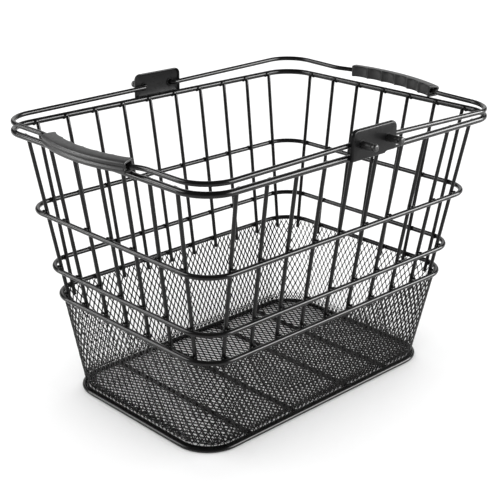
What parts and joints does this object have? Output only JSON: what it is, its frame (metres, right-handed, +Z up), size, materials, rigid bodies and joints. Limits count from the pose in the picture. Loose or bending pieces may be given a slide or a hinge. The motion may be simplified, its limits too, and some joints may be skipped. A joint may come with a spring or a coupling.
{
  "type": "wire basket",
  "caption": "Tapered wire basket with an expanded-metal lined lower part and two U-shaped carry handles that fold flat over the rim.",
  "frame": {"origin": "on the ground under the middle of the basket", "axes": "+X along the long side, +Y along the short side from the front wall to the back wall, +Z up"},
  "size_m": [0.414, 0.319, 0.2784],
  "materials": {
    "coated_wire": "gloss black powder coat",
    "coated_mesh": "satin black powder coat",
    "coated_plate": "satin black powder coat",
    "grip_plastic": "satin moulded black plastic",
    "cap_plastic": "smooth black plastic"
  },
  "bodies": {
    "basket": {"rim_wire": "coated_wire", "upper_ring": "coated_wire", "middle_ring": "coated_wire", "mesh_top_ring": "coated_wire", "base_ring": "coated_wire", "front_upright_01": "coated_wire", "front_upright_02": "coated_wire", "front_upright_03": "coated_wire", "front_upright_04": "coated_wire", "front_upright_05": "coated_wire", "front_upright_06": "coated_wire", "front_upright_07": "coated_wire", "front_upright_08": "coated_wire", "front_upright_09": "coated_wire", "front_upright_10": "coated_wire", "back_upright_01": "coated_wire", "back_upright_02": "coated_wire", "back_upright_03": "coated_wire", "back_upright_04": "coated_wire", "back_upright_05": "coated_wire", "back_upright_06": "coated_wire", "back_upright_07": "coated_wire", "back_upright_08": "coated_wire", "back_upright_09": "coated_wire", "back_upright_10": "coated_wire", "left_upright_01": "coated_wire", "left_upright_02": "coated_wire", "left_upright_03": "coated_wire", "left_upright_04": "coated_wire", "left_upright_05": "coated_wire", "left_upright_06": "coated_wire", "left_upright_07": "coated_wire", "right_upright_01": "coated_wire", "right_upright_02": "coated_wire", "right_upright_03": "coated_wire", "right_upright_04": "coated_wire", "right_upright_05": "coated_wire", "right_upright_06": "coated_wire", "right_upright_07": "coated_wire", "side_mesh": "coated_mesh", "bottom_mesh": "coated_mesh", "bottom_rib_1": "coated_wire", "bottom_rib_2": "coated_wire", "bottom_rib_3": "coated_wire", "bottom_rib_4": "coated_wire", "front_pivot_plate": "coated_plate", "back_pivot_plate": "coated_plate"},
    "left_handle": {"left_handle_wire": "coated_wire", "left_grip": "grip_plastic", "left_front_end_cap": "cap_plastic", "left_back_end_cap": "cap_plastic"},
    "right_handle": {"right_handle_wire": "coated_wire", "right_grip": "grip_plastic", "right_front_end_cap": "cap_plastic", "right_back_end_cap": "cap_plastic"}
  },
  "joints": [
    {"name": "left_handle_hinge", "type": "hinge", "parent": "basket", "child": "left_handle", "pos_m": [-0.01665, 0, 0.265], "axis": [0, 1, 0], "range_deg": [0, 90]},
    {"name": "right_handle_hinge", "type": "hinge", "parent": "basket", "child": "right_handle", "pos_m": [0.01665, 0, 0.265], "axis": [0, -1, 0], "range_deg": [0, 90]}
  ]
}
